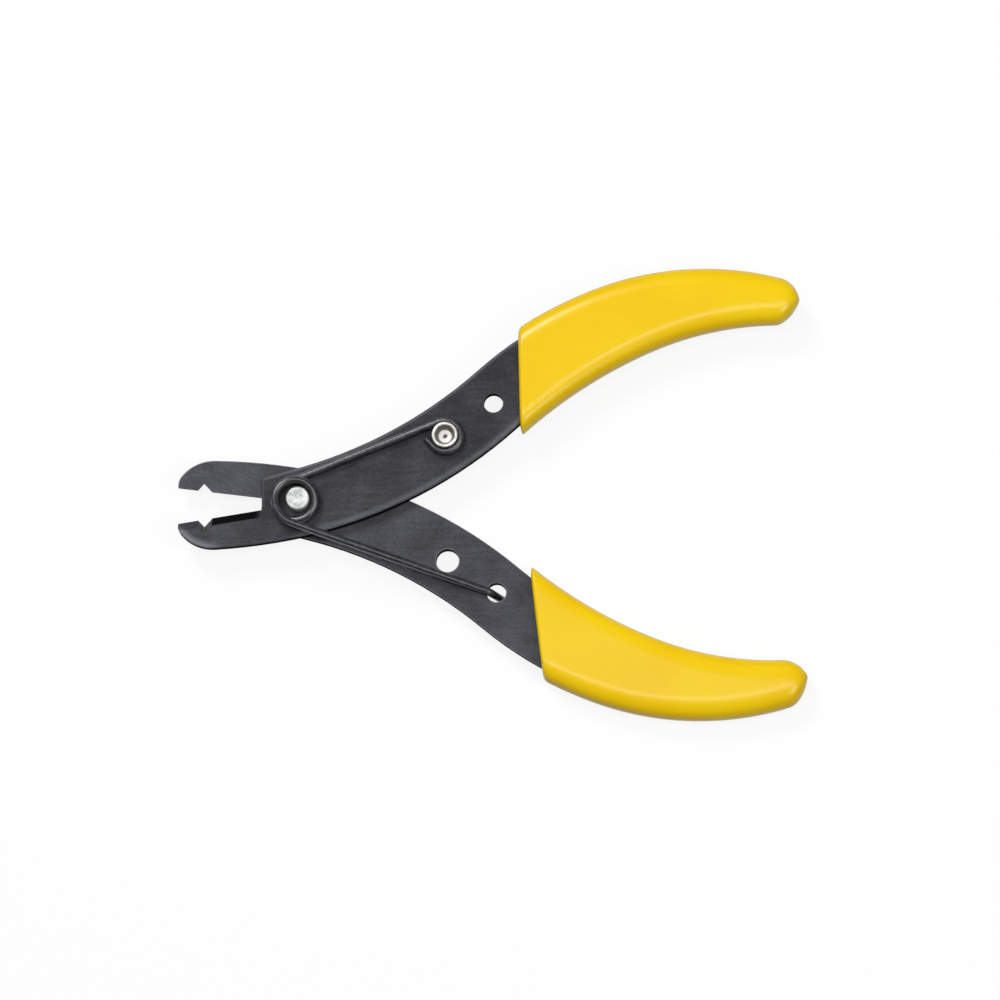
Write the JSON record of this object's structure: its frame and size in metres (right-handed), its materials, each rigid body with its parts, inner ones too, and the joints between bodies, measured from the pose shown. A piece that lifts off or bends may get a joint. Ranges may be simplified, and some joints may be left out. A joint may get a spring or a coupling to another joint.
{
  "type": "adjustable wire stripper",
  "caption": "Scissor-type wire stripper and cutter: two flat steel arms with notched jaws, opening spring, stop dial and dipped grips.",
  "frame": {"origin": "middle of the underside of the tool as it lies open on its back", "axes": "+X from the jaws to the grips, +Y towards the handle of the front arm, +Z out of the front face"},
  "size_m": [0.1298, 0.0948, 0.0115],
  "materials": {
    "black_steel": "black oxide, satin, ground at the jaws",
    "yellow_grip": "glossy dipped vinyl",
    "bright_steel": "bare, turned end",
    "spring_wire": "black spring wire",
    "dial_steel": "zinc plated",
    "plated_steel": "bright nickel"
  },
  "bodies": {
    "front_handle": {"front_arm": "black_steel", "front_grip": "yellow_grip", "pivot_rivet": "bright_steel", "dial_rivet": "plated_steel", "dial_spring_washer": "spring_wire", "torsion_spring": "spring_wire"},
    "rear_handle": {"rear_arm": "black_steel", "rear_grip": "yellow_grip"},
    "dial": {"adjusting_dial": "dial_steel"}
  },
  "joints": [
    {"name": "handle_pivot", "type": "hinge", "parent": "front_handle", "child": "rear_handle", "pos_m": [-0.03966, 0, 0.00483], "axis": [0, 0, 1], "range_deg": [0, 17.4], "stiffness_Nm_per_rad": 1.1, "deforming": ["torsion_spring"]},
    {"name": "dial_turn", "type": "hinge", "parent": "front_handle", "child": "dial", "pos_m": [-0.00906, 0.0128, 0.00483], "axis": [0, 0, 1], "range_deg": [-135, 135]}
  ]
}
